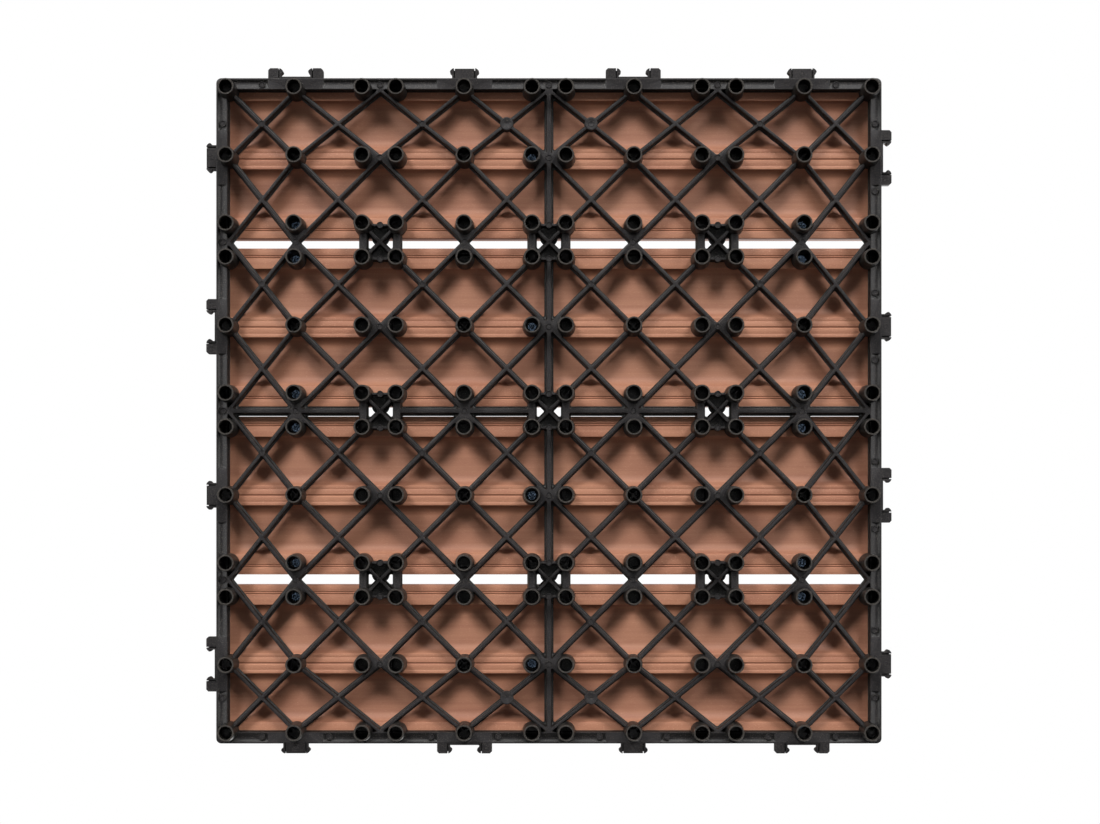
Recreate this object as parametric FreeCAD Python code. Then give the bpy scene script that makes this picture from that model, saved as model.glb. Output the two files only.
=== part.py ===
import FreeCAD, Part
import math
import os

from FreeCAD import Vector

# Interlocking deck tile. Millimetres, +Z up, feet on z = 0, origin under the middle of the tile.
# Four wood-plastic boards lie along X on one moulded lattice base and are screwed to it from below.

# Module and overall sizes
cell_pitch = 150.0            # side of one lattice cell, and of one quarter of the tile's module
cells_per_side = 4
joint_gap = 9.0               # open joint between two boards, and between two tiles
corner_radius = 4.5           # corners of the moulded frame
base_height = 25.0            # from the floor to the seat of the boards

# Boards
board_thickness = 20.0
board_edge_radius = 3.0       # rounding along the walking face
edge_strip_width = 18.0       # flat land along each side of the underside
middle_strip_width = 17.5     # flat land along the middle of the underside
scallop_depth = 6.5           # hollow between two lands
scallop_round = 11.3          # rounding from the hollow's flat floor down to a land
groove_width = 1.2            # V groove along the middle land
groove_depth = 0.8
edge_groove_width = 0.9       # two finer V grooves along each edge land
edge_groove_depth = 0.6
edge_groove_insets = [8.5, 6.8]   # from the board's side to those grooves

# Ribs, hanging from the seat of the boards
rib_height = 9.5
flange_thickness = 1.8        # flat top of the T section
rib_tip_width = 2.5
rib_root_width = 3.4
rib_flange_width = 5.8
spine_extra_width = 1.3       # the two straight ribs are this much wider than the diagonals
spine_flange_width = 8.2      # flange of the straight ribs, nearly closing the joint that it lies in

# Frame
frame_width = 10.0
frame_draft = 0.4             # how far the inner wall leans in from tip to root
trough_width = 7.8            # shallow hollow along the underside of the frame
trough_outer_slope = 1.7      # width of its steep outer side
trough_floor_width = 2.4
trough_depth = 1.8
trough_rim = 1.5              # flat rim outside the hollow

# Feet
foot_row_inset = 10.5         # from a board's side to the row of feet nearest to it
foot_mouth_radius = 7.3
foot_root_radius = 8.65
foot_bore_radius = 5.8
foot_end_thickness = 2.5      # closed end under the board
foot_sides = 8                # flats round each foot, standing for its round wall

# Clusters of four feet where four cells meet, and webs from other crossings to the feet beside them
cluster_bar_width = 6.0
cluster_wall_width = 2.0
cluster_draft = 0.4
cluster_plate_radius = 8.0    # round seat plate of the clusters round the middle one
cluster_plate_shift = 5.0
web_setback = 4.0             # from a foot's axis back to the end of the web that runs into the foot

# Round gate bosses on four rib crossings
gate_boss_radius = 5.5

# Clips along the four sides
clip_height = 8.0
clip_clearance = 0.15         # between the clips of two joined tiles
clip_pad_half = 24.0          # half the length of flat frame at each clip
clip_corner_bevel = 2.4
tongue_width = 22.0           # male clip, without its beads
prong_width = 10.0            # each prong of a female clip, without its bead
slot_width = 0.9              # spring slot behind each bead
finger_width = 1.5            # sprung wall between a slot and the side of its clip
bead_stand = 1.8              # how far a bead stands out from its finger
bead_root_length = 4.6        # length of a bead along its finger
bead_nose_length = 1.4
bead_from_tip = 3.1           # from the tip to the middle of the bead
stop_reach = 1.4              # low lip between the prongs, which a step in the tongue rides over
stop_thickness = 2.0

# Screws
screw_shank_radius = 2.0
screw_head_radius = 4.2
screw_head_height = 2.6
screw_grip = 14.0             # length in the board
screw_point = 4.0
screw_tip_radius = 0.6
screw_hole_clearance = 0.25   # round the shank in the foot
screw_board_clearance = 0.05  # round the shank in the board
screw_sides = 8               # flats round each screw and its holes

# Small amount by which a cutting tool runs past the face that it cuts
overrun = 1.0

module = cell_pitch * cells_per_side
base_side = module - joint_gap
board_width = cell_pitch - joint_gap
board_length = base_side
clip_reach = joint_gap - clip_clearance
half_side = base_side / 2
half_cell = cell_pitch / 2
cluster_reach = joint_gap / 2 + foot_row_inset
foot_row_offset = half_cell - cluster_reach
web_reach = cluster_reach - web_setback
seat_z = base_height
rib_tip_z = base_height - rib_height
flange_z = base_height - flange_thickness
foot_floor_z = base_height - foot_end_thickness
frame_inner = half_side - frame_width

cell_centres = [cell_pitch * (index + 0.5) - module / 2 for index in range(cells_per_side)]
cell_corners = [cell_pitch * index - module / 2 for index in range(1, cells_per_side)]
foot_rows = [centre + step for centre in cell_centres for step in (-foot_row_offset, 0.0, foot_row_offset)]
outer_row = max(foot_rows)
inner_lines = [half_cell * index for index in range(1 - cells_per_side, cells_per_side)]
lattice_lines = [-outer_row] + inner_lines + [outer_row]


def wire_of(points):
    """Closed wire through the points."""
    return Part.makePolygon(points + [points[0]])


def prism(points, z_low, z_high):
    """Straight prism on an outline of (x, y) points."""
    outline = [Vector(x, y, z_low) for x, y in points]
    return Part.Face(wire_of(outline)).extrude(Vector(0, 0, z_high - z_low))


def block(x_low, x_high, y_low, y_high, z_low, z_high):
    """Box between two corners."""
    corner = Vector(x_low, y_low, z_low)
    return Part.makeBox(x_high - x_low, y_high - y_low, z_high - z_low, corner)


def tapered(low_outline, z_low, high_outline, z_high):
    """Solid between two outlines whose matching sides run parallel, so that every face is flat."""
    low = [Vector(x, y, z_low) for x, y in low_outline]
    high = [Vector(x, y, z_high) for x, y in high_outline]
    faces = [Part.Face(wire_of(low)), Part.Face(wire_of(high))]
    for index in range(len(low)):
        after = (index + 1) % len(low)
        faces.append(Part.Face(wire_of([low[index], low[after], high[after], high[index]])))
    solid = Part.makeSolid(Part.makeShell(faces))
    return solid if solid.Volume > 0 else solid.reversed()


def round_outline(x, y, radius, sides):
    """Regular outline about a point with as much area as the circle of that radius."""
    step = 2 * math.pi / sides
    corner = radius * math.sqrt(step / math.sin(step))
    angles = [step * (index + 0.5) for index in range(sides)]
    return [(x + corner * math.cos(angle), y + corner * math.sin(angle)) for angle in angles]


def column(x, y, z_low, z_high, radius, sides):
    """Upright round column made of flats."""
    return prism(round_outline(x, y, radius, sides), z_low, z_high)


def is_upright(edge):
    """Whether an edge runs along Z."""
    return abs(edge.tangentAt(edge.FirstParameter).z) > 0.5


def turned(shape, quarter_turns):
    """Copy of a shape turned about the tile's middle."""
    copy = shape.copy()
    copy.rotate(Vector(0, 0, 0), Vector(0, 0, 1), 90 * quarter_turns)
    return copy


def inset_outline(points, insets):
    """Outline whose side k, from point k to point k + 1, is moved inwards by insets[k].

    The points run anticlockwise. A negative inset moves a side outwards.
    """
    lines = []
    count = len(points)
    for index in range(count):
        x0, y0 = points[index]
        x1, y1 = points[(index + 1) % count]
        length = math.hypot(x1 - x0, y1 - y0)
        normal_x = -(y1 - y0) / length
        normal_y = (x1 - x0) / length
        lines.append((normal_x, normal_y, normal_x * x0 + normal_y * y0 + insets[index]))
    corners = []
    for index in range(count):
        a1, b1, c1 = lines[index - 1]
        a2, b2, c2 = lines[index]
        determinant = a1 * b2 - a2 * b1
        corners.append(((c1 * b2 - c2 * b1) / determinant, (a1 * c2 - a2 * c1) / determinant))
    return corners


def side_insets(kind):
    """Insets at the rib tips, at the rib roots and at the flanges, for one kind of side."""
    if kind == "frame":
        reach = outer_row - frame_inner
        return reach, reach + frame_draft, reach + frame_draft
    if kind in ("bar", "wall", "web"):
        half = {"bar": cluster_bar_width / 2, "wall": cluster_wall_width / 2, "web": 0.0}[kind]
        return half, half + cluster_draft, half + cluster_draft
    if kind == "spine":
        tip_width, root_width = rib_tip_width + spine_extra_width, rib_root_width + spine_extra_width
        return tip_width / 2, root_width / 2, spine_flange_width / 2
    return rib_tip_width / 2, rib_root_width / 2, rib_flange_width / 2


def clipped(points, kinds, direction, limit, kind):
    """Part of an outline above a limit along Y, or below it for direction -1, closed by a side of its own kind."""
    heights = [direction * y - limit for x, y in points]
    kept_points = []
    kept_kinds = []
    for index in range(len(points)):
        after = (index + 1) % len(points)
        here, there = heights[index], heights[after]
        x0, y0 = points[index]
        x1, y1 = points[after]
        if here > 0:
            kept_points.append((x0, y0))
            kept_kinds.append(kinds[index])
        if (here > 0) != (there > 0):
            share = here / (here - there)
            kept_points.append((x0 + (x1 - x0) * share, y0 + (y1 - y0) * share))
            kept_kinds.append(kind if here > 0 else kinds[index])
    return kept_points, kept_kinds


def is_among(value, places):
    """Whether a value is one of the places."""
    return any(abs(value - place) < 0.001 for place in places)


def end_cut(x, y, cluster_kind):
    """How far a window stays from its tip at a crossing, and the kind of side there."""
    if is_among(y, cell_corners):
        if is_among(x, cell_corners):
            return cluster_reach, cluster_kind
        if is_among(x, cell_centres):
            return web_reach, "web"
    return 0.0, "rib"


def lattice_window(points, kinds):
    """Opening between ribs, the frame or a spine: drafted below, smaller and straight through the flanges."""
    insets = [side_insets(kind) for kind in kinds]
    tips, roots, flanges = zip(*insets)
    drafted = tapered(inset_outline(points, tips), rib_tip_z, inset_outline(points, roots), flange_z)
    through = prism(inset_outline(points, flanges), flange_z, seat_z)
    return [drafted, through]


def lattice_windows():
    """All openings of the lattice: whole diamonds inside, triangles beside the spines and the frame."""
    windows = []
    for quarter_turns, cluster_kind in enumerate(["wall", "bar"]):
        for row in range(len(lattice_lines) - 1):
            for x_index in range(len(lattice_lines)):
                for shape in windows_at(row, x_index, cluster_kind):
                    windows.append(turned(shape, quarter_turns))
    return windows


def windows_at(row, x_index, cluster_kind):
    """Openings between two neighbouring lattice lines, round one crossing line."""
    lines = lattice_lines
    low, high = lines[row], lines[row + 1]
    x = lines[x_index]
    centre = (low + high) / 2
    before = ((lines[x_index - 1] + x) / 2, centre) if x_index > 0 else None
    after = ((x + lines[x_index + 1]) / 2, centre) if x_index < len(lines) - 1 else None
    edge = "spine" if abs(x) < 0.001 else "frame"
    if before and after and edge == "frame":
        found = [([(x, low), after, (x, high), before], ["rib"] * 4)]
    else:
        found = [([(x, low), (x, high), before], [edge, "rib", "rib"])] if before else []
        found += [([(x, high), (x, low), after], [edge, "rib", "rib"])] if after else []
    shapes = []
    for points, kinds in found:
        for direction, y in ((1, low), (-1, high)):
            reach, kind = end_cut(x, y, cluster_kind)
            if reach > 0:
                points, kinds = clipped(points, kinds, direction, direction * y + reach, kind)
        shapes += lattice_window(points, kinds)
    return shapes


def cluster_openings():
    """Openings inside the clusters: through beside the bars, closed by a seat plate beside the walls."""
    triangle = [(0.0, 0.0), (cluster_reach, -cluster_reach), (cluster_reach, cluster_reach)]
    through = lattice_window(triangle, ["rib", "bar", "rib"])
    closed = lattice_window(triangle, ["rib", "wall", "rib"])[:1]
    shapes = []
    for x in cell_corners:
        for y in cell_corners:
            for quarter_turns, opening in enumerate([through, closed, through, closed]):
                for shape in opening:
                    copy = turned(shape, quarter_turns)
                    copy.translate(Vector(x, y, 0))
                    shapes.append(copy)
    return shapes


def frame_plate():
    """Slab with the frame's outline and the ribs' height, before its windows are cut."""
    slab = block(-half_side, half_side, -half_side, half_side, rib_tip_z, seat_z)
    return slab.makeFillet(corner_radius, [edge for edge in slab.Edges if is_upright(edge)])


def clip_positions():
    """Clip centres along one side with the kind of each, in the order seen along the low Y side."""
    return [(centre, "female" if index % 2 == 0 else "male") for index, centre in enumerate(cell_centres)]


def trough_cutter(x_low, x_high):
    """Shallow hollow with sloping sides along a stretch of the low Y side's frame."""
    outer = -half_side + trough_rim
    floor = outer + trough_outer_slope
    corners = [(outer, rib_tip_z), (floor, rib_tip_z + trough_depth),
               (floor + trough_floor_width, rib_tip_z + trough_depth), (outer + trough_width, rib_tip_z)]
    section = wire_of([Vector(x_low, y, z) for y, z in corners])
    return Part.Face(section).extrude(Vector(x_high - x_low, 0, 0))


def trough_cutters():
    """Hollows of all four sides, left out at the corners and at each clip."""
    ends = [-outer_row]
    for centre, kind in clip_positions():
        ends += [centre - clip_pad_half, centre + clip_pad_half]
    ends.append(outer_row)
    side = [trough_cutter(low, high) for low, high in zip(ends[0::2], ends[1::2])]
    return [turned(shape, turns) for turns in range(4) for shape in side]


def foot(x, y):
    """Outside of one tapered tubular foot."""
    mouth = round_outline(x, y, foot_mouth_radius, foot_sides)
    root = round_outline(x, y, foot_root_radius, foot_sides)
    return tapered(mouth, 0.0, root, seat_z)


def foot_bore(x, y):
    """Inside of one foot, closed under the board."""
    return column(x, y, -overrun, foot_floor_z, foot_bore_radius, foot_sides)


def cluster_plates():
    """Round seat plates over the clusters round the middle one."""
    places = [(x, y - cluster_plate_shift) for x in cell_corners for y in cell_corners if abs(x) + abs(y) > 0.001]
    return [column(x, y, flange_z, seat_z, cluster_plate_radius, foot_sides) for x, y in places]


def gate_bosses():
    """Round bosses on the two crossings beside the spine at two opposite sides."""
    crossing = half_cell / 2
    row = (lattice_lines[-1] + lattice_lines[-2]) / 2
    places = [(side * crossing, end * row) for side in (-1, 1) for end in (-1, 1)]
    return [column(x, y, rib_tip_z, seat_z, gate_boss_radius, foot_sides) for x, y in places]


def clip_piece(centre, side, outline):
    """Plate of a clip on the low Y side, from (distance sideways, distance outwards) points on one side."""
    points = [(centre + side * across, -half_side - out) for across, out in outline]
    return prism(points, rib_tip_z, rib_tip_z + clip_height)


def finger_outline(near, far, stand):
    """Sprung finger rooted in the frame, with its bead standing out from the face at far."""
    middle = clip_reach - bead_from_tip
    root = bead_root_length / 2
    nose = bead_nose_length / 2
    return [(near, -overrun), (far, -overrun), (far, middle - root), (far + stand, middle - nose),
            (far + stand, middle + nose), (far, middle + root), (far, clip_reach), (near, clip_reach)]


def male_clip(centre):
    """Tongue between two sprung fingers with beads, its tip stepped to ride over a neighbour's stop."""
    half = tongue_width / 2
    core = half - finger_width - slot_width
    tip = -half_side - clip_reach
    pieces = [block(centre - core, centre + core, tip, overrun - half_side, rib_tip_z, rib_tip_z + clip_height)]
    finger = finger_outline(half - finger_width, half, bead_stand)
    pieces += [clip_piece(centre, side, finger) for side in (-1, 1)]
    step = block(centre - half, centre + half, tip - overrun, tip + stop_reach,
                 rib_tip_z - overrun, rib_tip_z + stop_thickness + clip_clearance)
    return pieces[0].fuse(pieces[1:]).cut(step)


def female_clip(centre):
    """Two prongs, each with a sprung finger and a bead on its inner side, and the low stop between them."""
    inner = tongue_width / 2 + bead_stand + clip_clearance
    near = inner + finger_width + slot_width
    far = inner + prong_width
    prong = [(near, -overrun), (far, -overrun), (far, clip_reach - clip_corner_bevel),
             (far - clip_corner_bevel, clip_reach), (near, clip_reach)]
    finger = finger_outline(inner + finger_width, inner, -bead_stand)
    pieces = [clip_piece(centre, side, outline) for side in (-1, 1) for outline in (prong, finger)]
    pieces.append(block(centre - inner, centre + inner, -half_side - stop_reach, overrun - half_side,
                        rib_tip_z, rib_tip_z + stop_thickness))
    return pieces


def clips():
    """Male and female clips in turn along all four sides."""
    side = []
    for centre, kind in clip_positions():
        side += [male_clip(centre)] if kind == "male" else female_clip(centre)
    return [turned(shape, turns) for turns in range(4) for shape in side]


def screw_places():
    """X and Y of every screw: two on each edge land near both ends, one on the middle land."""
    far = max(cell_centres)
    near = -cluster_reach
    places = []
    for centre in cell_centres:
        places += [(side * far, centre + step) for side in (-1, 1) for step in (-foot_row_offset, foot_row_offset)]
        places.append((near, centre))
    return places


def base_grid():
    """The whole moulded base."""
    grid = frame_plate().cut(lattice_windows() + cluster_openings() + trough_cutters())
    feet_places = [(x, y) for x in foot_rows for y in foot_rows]
    additions = [foot(x, y) for x, y in feet_places] + cluster_plates() + gate_bosses() + clips()
    solid = grid.fuse(additions)
    bores = [foot_bore(x, y) for x, y in feet_places]
    hole = screw_shank_radius + screw_hole_clearance
    holes = [column(x, y, foot_floor_z - overrun, seat_z + overrun, hole, screw_sides) for x, y in screw_places()]
    return solid.cut(bores + holes).removeSplitter()


def edge_groove(y):
    """Points of a small V groove in the underside, from low to high y."""
    half = edge_groove_width / 2
    return [(y - half, 0.0), (y, edge_groove_depth), (y + half, 0.0)]


def board_section(centre):
    """Closed section of a board in the YZ plane, at the board's low X end."""
    x = -board_length / 2
    half = board_width / 2
    land = middle_strip_width / 2
    edge_land = half - edge_strip_width
    top = board_thickness
    slope = math.acos(1 - scallop_depth / scallop_round)
    reach = scallop_round * math.sin(slope)
    bend_in = scallop_round * (math.sin(slope) - math.sin(slope / 2))
    bend_up = scallop_depth - scallop_round * (1 - math.cos(slope / 2))
    round_in = board_edge_radius * (1 - math.sin(math.pi / 4))
    middle_land = [(0.0, groove_depth), (groove_width / 2, 0.0), (land, 0.0)]
    edge = [(edge_land, 0.0)]
    for inset in edge_groove_insets:
        edge += edge_groove(half - inset)
    edge += [(half, 0.0), (half, top - board_edge_radius)]
    pieces = []
    for side in (-1, 1):
        chains = [middle_land, [(land + reach, scallop_depth), (edge_land - reach, scallop_depth)], edge,
                  [(half - board_edge_radius, top), (0.0, top)]]
        bends = [(land + bend_in, bend_up), (edge_land - bend_in, bend_up), (half - round_in, top - round_in)]
        chains = [[Vector(x, centre + side * y, seat_z + z) for y, z in chain] for chain in chains]
        bends = [Vector(x, centre + side * y, seat_z + z) for y, z in bends]
        for chain in chains:
            pieces += [Part.LineSegment(a, b).toShape() for a, b in zip(chain, chain[1:])]
        for before, bend, after in zip(chains, bends, chains[1:]):
            pieces.append(Part.Arc(before[-1], bend, after[0]).toShape())
    return Part.Face(Part.Wire(Part.__sortEdges__(pieces)))


def screw_shaft(x, y, z_low, clearance):
    """Shank and blunt point of a screw, made larger all round by a clearance."""
    shoulder = seat_z + screw_grip - screw_point
    radius = screw_shank_radius + clearance
    shank = round_outline(x, y, radius, screw_sides)
    tip = round_outline(x, y, screw_tip_radius + clearance, screw_sides)
    point = tapered(shank, shoulder, tip, seat_z + screw_grip + clearance)
    return prism(shank, z_low, shoulder).fuse(point)


def board(centre):
    """One scalloped board with the blind holes that its five screws fill."""
    body = board_section(centre).extrude(Vector(board_length, 0, 0))
    places = [(x, y) for x, y in screw_places() if abs(y - centre) < board_width / 2]
    return body.cut([screw_shaft(x, y, seat_z - overrun, screw_board_clearance) for x, y in places])


def deck_screw(x, y):
    """One flat-headed screw, head down in its foot and point up in the board."""
    head = column(x, y, foot_floor_z - screw_head_height, foot_floor_z, screw_head_radius, screw_sides)
    return head.fuse(screw_shaft(x, y, foot_floor_z, 0.0)).removeSplitter()


def save(name, shape):
    """Check one node and write it."""
    if not shape.isValid():
        raise ValueError(name + " is not a valid solid")
    shape.exportStep("parts/" + name + ".step")
    print(name, len(shape.Solids), "solids", round(shape.Volume / 1000, 1), "cm3")


def main():
    os.makedirs("parts", exist_ok=True)
    save("base_grid", base_grid())
    for number, centre in enumerate(cell_centres, 1):
        save("board_" + str(number), board(centre))
    save("deck_screws", Part.makeCompound([deck_screw(x, y) for x, y in screw_places()]))


main()
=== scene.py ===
import math
from functools import partial

import bmesh
import bpy
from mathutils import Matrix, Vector


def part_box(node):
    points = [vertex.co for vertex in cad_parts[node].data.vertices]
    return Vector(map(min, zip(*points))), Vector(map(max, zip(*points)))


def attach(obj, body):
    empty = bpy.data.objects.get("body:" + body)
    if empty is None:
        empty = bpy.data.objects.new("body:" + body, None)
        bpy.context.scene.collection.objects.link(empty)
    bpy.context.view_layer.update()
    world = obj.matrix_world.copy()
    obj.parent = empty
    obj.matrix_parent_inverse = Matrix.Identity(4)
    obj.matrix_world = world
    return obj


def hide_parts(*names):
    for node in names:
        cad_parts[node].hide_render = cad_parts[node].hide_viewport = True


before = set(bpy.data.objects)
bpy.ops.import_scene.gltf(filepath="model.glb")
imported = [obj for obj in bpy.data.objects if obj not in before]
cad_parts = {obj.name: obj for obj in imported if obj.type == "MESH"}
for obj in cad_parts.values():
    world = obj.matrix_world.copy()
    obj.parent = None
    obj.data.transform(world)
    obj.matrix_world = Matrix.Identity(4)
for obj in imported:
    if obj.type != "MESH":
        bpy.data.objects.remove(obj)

# Interlocking deck tile. Four wood-plastic boards lie along X on one black moulded lattice base, and screws
# driven up through the base's hollow feet hold them. Lengths are metres, the feet stand on z = 0.

bl_info = {
    "name": "Interlocking deck tile",
    "version": (1, 0, 0),
    "blender": (4, 5, 0),
    "location": "View3D > Sidebar > Deck tile",
    "description": "Builds a lattice-based interlocking deck tile and its stage",
    "category": "Object",
}

MM = 0.001
BASE_NODE = "base_grid"
BOARD_NODES = ["board_1", "board_2", "board_3", "board_4"]
SCREW_NODE = "deck_screws"
BOARD_BOXES = [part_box(node) for node in BOARD_NODES]
# Cells of the lattice along each side.
CELLS = 4
# Clip plates start this far inside the frame, and the webs this far inside the walls beside them.
CLIP_LAP = 0.3 * MM
# Lengths closer than this are the same.
SAME = 1e-7


def linear(colour):
    """Linear RGBA of an sRGB hex colour."""
    channels = [int(colour[place:place + 2], 16) / 255 for place in (1, 3, 5)]
    return tuple(c / 12.92 if c <= 0.04045 else ((c + 0.055) / 1.055) ** 2.4 for c in channels) + (1.0,)


def length(name, description, millimetres):
    """Length property with its default in millimetres."""
    return bpy.props.FloatProperty(name=name, description=description, default=millimetres * MM,
                                   min=0.0, precision=5, subtype="DISTANCE", unit="LENGTH")


def colour(name, description, value):
    """Colour property with its default as sRGB hex."""
    return bpy.props.FloatVectorProperty(name=name, description=description, default=linear(value),
                                         size=4, min=0.0, max=1.0, subtype="COLOR")


def number(name, description, value, **options):
    """Property with a plain number that isn't negative."""
    return bpy.props.FloatProperty(name=name, description=description, default=value, min=0.0, **options)


def angular(name, description, degrees):
    """Angle property with its default in degrees."""
    return number(name, description, math.radians(degrees), max=math.pi, subtype="ANGLE", unit="ROTATION")


class DeckTileBase(bpy.types.PropertyGroup):
    """Sizes and colours of the moulded base."""

    cell_pitch: length("Cell pitch", "Side of one lattice cell, a quarter of the tile's module", 150)
    joint_gap: length("Joint gap", "Open joint between boards and between tiles", 9)
    corner_radius: length("Corner radius", "Rounding of the frame's four corners", 4.5)
    base_height: length("Base height", "From the floor to the seat of the boards", 25)
    rib_height: length("Rib height", "Depth of the lattice below the boards", 9.5)
    flange_thickness: length("Flange thickness", "Flat top of each T-shaped rib", 1.8)
    rib_tip_width: length("Rib tip width", "Width of a rib at its lower edge", 2.5)
    rib_root_width: length("Rib root width", "Width of a rib where it meets its flange", 3.4)
    rib_flange_width: length("Rib flange width", "Width of the flange under the board", 5.8)
    spine_extra_width: length("Spine extra width", "How much wider the two straight ribs are", 1.3)
    spine_flange_width: length("Spine flange width", "Width of the flange of the straight ribs", 8.2)
    frame_width: length("Frame width", "Width of the frame round the lattice", 10)
    frame_draft: length("Frame draft", "Lean of the frame's inner wall", 0.4)
    foot_row_inset: length("Foot row inset", "From a board's side to the nearest row of feet", 10.5)
    foot_mouth_radius: length("Foot mouth radius", "Outer radius of a foot at the floor", 7.3)
    foot_root_radius: length("Foot root radius", "Outer radius of a foot under the board", 8.65)
    foot_bore_radius: length("Foot bore radius", "Inner radius of a foot", 5.8)
    foot_end_thickness: length("Foot end thickness", "Closed end of a foot under the board", 2.5)
    foot_sides: bpy.props.IntProperty(name="Foot sides", description="Facets round each foot", default=28,
                                      min=8, max=64)
    web_reach: length("Web reach", "From a crossing between two feet to the end of its web", 11)
    gate_boss_radius: length("Gate boss radius", "Round bosses where the mould was filled", 5.5)
    mark_radius: length("Mark radius", "Round ejector marks on the crossings and the frame", 2.9)
    clip_height: length("Clip height", "Height of the clips along the sides", 8)
    tongue_width: length("Tongue width", "Width of a male clip without its beads", 22)
    plastic: colour("Plastic", "Moulded polypropylene", "#0B0A09")
    # Painted highlight: besides pale dust specks, this colour paints the foot rims paler.
    plastic_dust_and_rim_highlight: colour("Plastic, dust and painted rim highlight", "Dust specks and painted highlight on foot rims", "#4A4641")
    # Painted highlight: this colour paints the rib tips and other faces that look down paler.
    plastic_painted_highlight: colour("Plastic, painted highlight", "Rib tips and other faces that look down", "#242223")


class DeckTileBoards(bpy.types.PropertyGroup):
    """Sizes and colours of the boards."""

    edge_radius: length("Edge radius", "Rounding along the walking face", 3)
    edge_strip_width: length("Edge strip width", "Flat land along each side of the underside", 18)
    middle_strip_width: length("Middle strip width", "Flat land along the middle of the underside", 17.5)
    scallop_depth: length("Scallop depth", "Hollow between two lands", 6.5)
    scallop_round: length("Scallop round", "Rounding from the hollow's flat floor down to a land", 11.3)
    groove_width: length("Groove width", "V groove along the middle land", 2.0)
    groove_depth: length("Groove depth", "Depth of the middle groove", 1.2)
    edge_groove_width: length("Edge groove width", "Two finer V grooves along each edge land", 1.3)
    edge_groove_depth: length("Edge groove depth", "Depth of the finer grooves", 0.9)
    composite: colour("Composite", "Wood-plastic, main tone", "#AF7A5E")
    composite_dark: colour("Composite, dark", "Darker streaks", "#935F48")
    composite_light: colour("Composite, light", "Pale wood fibres", "#CF9E80")


class DeckTileScrews(bpy.types.PropertyGroup):
    """Sizes and colour of the screws."""

    head_radius: length("Head radius", "Radius of the flat head", 4.2)
    head_height: length("Head height", "Thickness of the head", 2.6)
    shank_radius: length("Shank radius", "Radius of the shank", 2)
    grip: length("Grip", "Length in the board", 14)
    recess_reach: length("Recess reach", "From the middle to the end of a cross arm", 2.3)
    recess_depth: length("Recess depth", "Depth of the cross recess", 1.5)
    steel: colour("Steel", "Blue-black coated steel", "#44505F")


class DeckTileStage(bpy.types.PropertyGroup):
    """Floor, lights and camera."""

    floor: colour("Floor", "Pale floor", "#E9E7E3")
    key_strength: number("Key strength", "Each of the two far lamps under the tile", 2.15)
    key_angle: angular("Key angle", "How wide the two far lamps look from the tile", 18)
    top_strength: number("Top strength", "Far lamp over the tile", 2.7)
    top_angle: angular("Top angle", "How wide the lamp over the tile looks", 30)
    ambient: number("Ambient", "Strength of the light from all round", 0.11, max=2.0, subtype="FACTOR")
    mirrored_dim: number("Mirrored dim", "Surroundings as reflections see them", 0.22)
    mirrored_screens: number("Mirrored screens", "Bright screens as reflections see them", 6.0)
    mirrored_spark: number("Mirrored spark", "Small bright panel as reflections see it", 9.0)
    lens: number("Lens", "Focal length on a 36 mm wide sensor", 66.9, unit="CAMERA")
    distance: length("Camera distance", "From the camera to the floor plane", 1800)


def add_node(tree, kind, inputs=(), **settings):
    """New node with its settings and its inputs by name or in order; a node stands for its first output."""
    node = tree.nodes.new(kind)
    for name, value in settings.items():
        setattr(node, name, value)
    for key, value in inputs.items() if isinstance(inputs, dict) else enumerate(inputs):
        if isinstance(value, bpy.types.Node):
            value = next(socket for socket in value.outputs if socket.enabled)
        if isinstance(value, bpy.types.NodeSocket):
            tree.links.new(value, node.inputs[key])
        else:
            node.inputs[key].default_value = value
    return node


# Outlines, as (x, y) points that run anticlockwise


def inset(points, insets):
    """Outline whose side k, from point k to the next, is moved inwards by insets[k]."""
    lines = []
    for index, (x0, y0) in enumerate(points):
        x1, y1 = points[(index + 1) % len(points)]
        span = math.hypot(x1 - x0, y1 - y0)
        across, up = -(y1 - y0) / span, (x1 - x0) / span
        lines.append((across, up, across * x0 + up * y0 + insets[index]))
    corners = []
    for index in range(len(points)):
        a1, b1, c1 = lines[index - 1]
        a2, b2, c2 = lines[index]
        cross = a1 * b2 - a2 * b1
        corners.append(((c1 * b2 - c2 * b1) / cross, (a1 * c2 - a2 * c1) / cross))
    return corners


def rounded(points, radius, steps):
    """Outline with every corner rounded by an arc of so many steps."""
    outline = []
    count = len(points)
    for index in range(count):
        here = Vector(points[index])
        before = Vector(points[index - 1]) - here
        after = Vector(points[(index + 1) % count]) - here
        half = before.angle(after) / 2
        longest = 0.45 * min(before.length, after.length)
        reach = min(radius / math.tan(half), longest)
        before.normalize()
        after.normalize()
        centre = here + (before + after).normalized() * (reach / math.cos(half))
        first, last = here + before * reach - centre, here + after * reach - centre
        turn = first.angle_signed(last)
        for step in range(steps + 1):
            angle = -turn * step / steps
            x = first.x * math.cos(angle) - first.y * math.sin(angle)
            y = first.x * math.sin(angle) + first.y * math.cos(angle)
            outline.append((centre.x + x, centre.y + y))
    return outline


def clipped(points, kinds, direction, limit, kind):
    """Part of an outline past a limit along Y, or along -Y, closed by a side of its own kind."""
    over = [direction * y - limit for x, y in points]
    kept_points, kept_kinds = [], []
    for index, (x0, y0) in enumerate(points):
        after = (index + 1) % len(points)
        here, there = over[index], over[after]
        if here > 0:
            kept_points.append((x0, y0))
            kept_kinds.append(kinds[index])
        if (here > 0) != (there > 0):
            share = here / (here - there)
            x1, y1 = points[after]
            kept_points.append((x0 + (x1 - x0) * share, y0 + (y1 - y0) * share))
            kept_kinds.append(kind if here > 0 else kinds[index])
    return kept_points, kept_kinds


def quarter_turned(points, turns):
    """Outline turned about the tile's middle by quarter turns."""
    for _ in range(turns % 4):
        points = [(-y, x) for x, y in points]
    return points


def rectangle(left, low, right, high):
    """Outline of a rectangle."""
    return [(left, low), (right, low), (right, high), (left, high)]


# Meshes


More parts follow.
